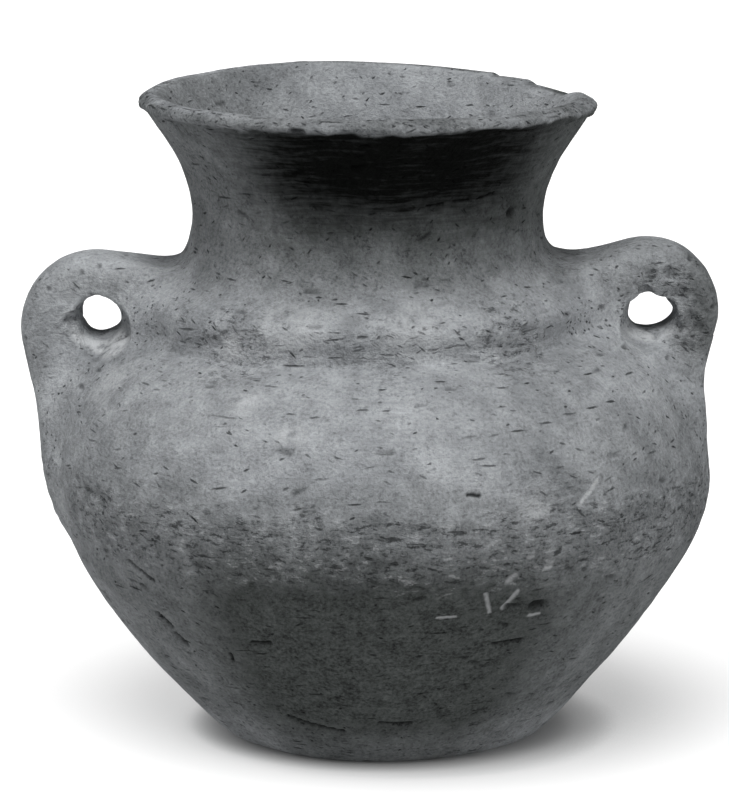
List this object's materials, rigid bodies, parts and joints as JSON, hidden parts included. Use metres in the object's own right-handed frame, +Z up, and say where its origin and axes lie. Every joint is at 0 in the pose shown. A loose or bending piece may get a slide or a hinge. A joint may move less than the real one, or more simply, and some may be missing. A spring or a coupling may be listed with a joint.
{
  "type": "two-lugged water jar",
  "caption": "Hand-built earthenware water jar with a full belly, a flat foot, a flaring neck and two pierced shoulder lugs for a cord.",
  "frame": {"origin": "centre of the flat foot, on the surface the jar stands on", "axes": "+Z up along the body's axis, +X from the left lug to the right lug, -Y towards the pictured front"},
  "size_m": [0.1632, 0.1556, 0.1523],
  "materials": {
    "fired_clay": "matt, burnt chaff voids, unglazed"
  },
  "bodies": {
    "root": {"base_slab": "fired_clay", "lower_wall": "fired_clay", "upper_wall": "fired_clay", "neck_collar": "fired_clay", "neck_wall": "fired_clay", "lip_roll": "fired_clay", "left_lug": "fired_clay", "right_lug": "fired_clay"}
  },
  "joints": []
}
